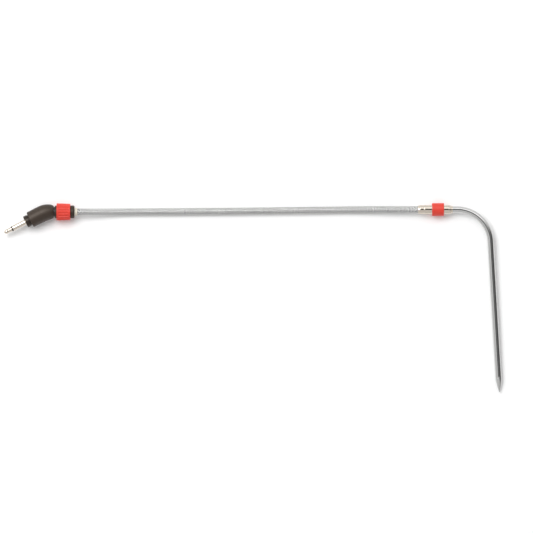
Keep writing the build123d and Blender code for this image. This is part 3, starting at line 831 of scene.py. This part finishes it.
class PROBE_OT_jack(bpy.types.Operator):
    """Turns the jack's ground contact, its insulating ring and its tip"""

    bl_idname = "probe.jack"
    bl_label = "Jack pin"

    def execute(self, context):
        sizes, colours = context.scene.probe_sizes, context.scene.probe_colours
        pin = pin_place(sizes)
        n, reach, r = sizes.nose_length / MM, sizes.jack_length / MM, sizes.jack_radius / MM
        end = n + reach
        tip_length, ring_width = 3.87, 0.56
        ring_front, ring_back = end - tip_length, end - (tip_length + ring_width)
        # Bright nickel plate on turned brass: warm mirror with faint lathe rings.
        nickel = surface("nickel_plate_bright", colours.nickel, 1.0, 0.13, (4.0, 0.08), mottle=0.03,
                         spread=0.02, bump=0.02)
        outline = [
            (-1.75, 0.75, 0), (-1.75, 0.9, 0), (-1.2, 0.9, 0), (-1.2, 2.0, 0), (-0.5, 2.0, 0),
            (-0.5, 1.45, 0), (n, 1.45, 0.05), (n, r, 0), (ring_back, r, 0.08), (ring_back, 0.75, 0),
        ]
        sleeve = add_piece(turned("jack_ground_contact", outline, pin), nickel, ROOT)
        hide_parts("jack_sleeve")

        # Moulded nylon: black, with a low satin shine.
        hard = surface("nylon_moulded_black", "#171413", 0.0, 0.35, (0.2, 0.2), mottle=0.08, bump=0.1)
        outline = [
            (-1.75, 0.52, 0), (-1.75, 0.73, 0), (ring_back + 0.02, 0.73, 0), (ring_back + 0.02, 1.2, 0.06),
            (ring_front - 0.02, 1.2, 0.06), (ring_front - 0.02, 0.52, 0),
        ]
        ring = add_piece(turned("jack_insulator", outline, pin), hard, ROOT)
        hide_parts("tip_insulator")

        outline = [
            (-2.5, 0.35, 0), (-2.2, 0.35, 0), (-2.2, 0.5, 0), (ring_front, 0.5, 0), (ring_front, 1.1, 0.06),
            (ring_front + 0.35, 1.09, 0.3), (ring_front + 1.45, 0.91, 0.9), (ring_front + 2.4, 1.07, 0.5),
            (ring_front + 2.95, 1.06, 0.5), (end - 0.25, 0.55, 0.35), (end, 0.3, 0.2), (end, 0.05, 0),
        ]
        tip = add_piece(turned("jack_tip_contact", outline, pin, closed=False), nickel, ROOT)
        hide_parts("jack_tip")
        return {"FINISHED"}


# ---- hidden pieces, which keep their own shape ----

HIDDEN_FINISHES = {
    # slot: (material, colour, metallic, roughness, grain in mm)
    "brass": ("brass_turned", "#C9A45C", 1.0, 0.25, 0.2),
    "tinned_wire": ("copper_tinned_drawn", "#C8C2B8", 1.0, 0.3, 0.1),
    "solder": ("tin_solder_reflowed", "#BFC0C2", 1.0, 0.3, 0.4),
    "ptfe": ("ptfe_extruded", "#E6E5E0", 0.0, 0.45, 0.5),
    "seal_silicone": ("silicone_potted", "#CFCDC6", 0.0, 0.4, 0.5),
    "paste": ("silicone_paste_filled", "#DAD9D4", 0.0, 0.7, 0.15),
    "bead_glass": ("glass_bead_sealed", "#5A4030", 0.0, 0.1, 0.6),
    "hard_black": ("polypropylene_moulded", "#1E1C1B", 0.0, 0.4, 0.4),
}


class PROBE_OT_hidden(bpy.types.Operator):
    """Gives the pieces inside the plug, lead and needle their own finishes"""

    bl_idname = "probe.hidden"
    bl_label = "Inside pieces"

    def execute(self, context):
        slots = {s["node"]: s["material_slot"] for s in frame["record"]["subparts"]}
        made = {}
        for slot, (name, hex_colour, metallic, roughness, grain) in HIDDEN_FINISHES.items():
            made[slot] = surface(name, hex_colour, metallic, roughness, (grain,) * 3, by_uv=False)
        for node, shape in frame["nodes"].items():
            finish = made.get(slots[node])
            if finish:
                shape.data.materials.clear()
                shape.data.materials.append(finish)
        return {"FINISHED"}


class PROBE_OT_declare_lead(bpy.types.Operator):
    """Gathers the names of the lead's pieces and the plug's pieces into a list, which it passes on nowhere
    """

    bl_idname = "probe.declare_lead"
    bl_label = "Declare the lead"

    def execute(self, context):
        names = list(context.scene["lead_pieces"])
        names += ["collar_spool", "plug_ring_band", "boot_shell", "nose_collar"]
        names += ["jack_ground_contact", "jack_insulator", "jack_tip_contact"]
        names += ["core_insulation", "core_wires", "braid_crimp", "inner_mould", "sleeve_lug"]
        names += ["lug_washer", "tip_lug", "solder_joints"]
        return {"FINISHED"}


OPERATORS = [
    PROBE_OT_stage,
    PROBE_OT_lead,
    PROBE_OT_needle,
    PROBE_OT_ferrule,
    PROBE_OT_collar,
    PROBE_OT_boot,
    PROBE_OT_jack,
    PROBE_OT_hidden,
    PROBE_OT_declare_lead,
]


class PROBE_PT_panel(bpy.types.Panel):
    """Lists the pieces in the order in which they are built"""

    bl_idname = "PROBE_PT_panel"
    bl_label = "Thermometer probe"
    bl_space_type = "VIEW_3D"
    bl_region_type = "UI"
    bl_category = "Probe"

    def draw(self, context):
        for operator in OPERATORS:
            self.layout.operator(operator.bl_idname)
        for group in (context.scene.probe_sizes, context.scene.probe_colours):
            box = self.layout.box()
            for key in group.__annotations__:
                box.prop(group, key)


CLASSES = [ProbeSizes, ProbeColours, *OPERATORS, PROBE_PT_panel]


def register():
    for cls in CLASSES:
        bpy.utils.register_class(cls)
    bpy.types.Scene.probe_sizes = PointerProperty(type=ProbeSizes)
    bpy.types.Scene.probe_colours = PointerProperty(type=ProbeColours)


def unregister():
    del bpy.types.Scene.probe_colours
    del bpy.types.Scene.probe_sizes
    for cls in reversed(CLASSES):
        bpy.utils.unregister_class(cls)


def main():
    register()
    for operator in OPERATORS:
        group, name = operator.bl_idname.split(".")
        getattr(getattr(bpy.ops, group), name)()


if __name__ == "__main__":
    main()
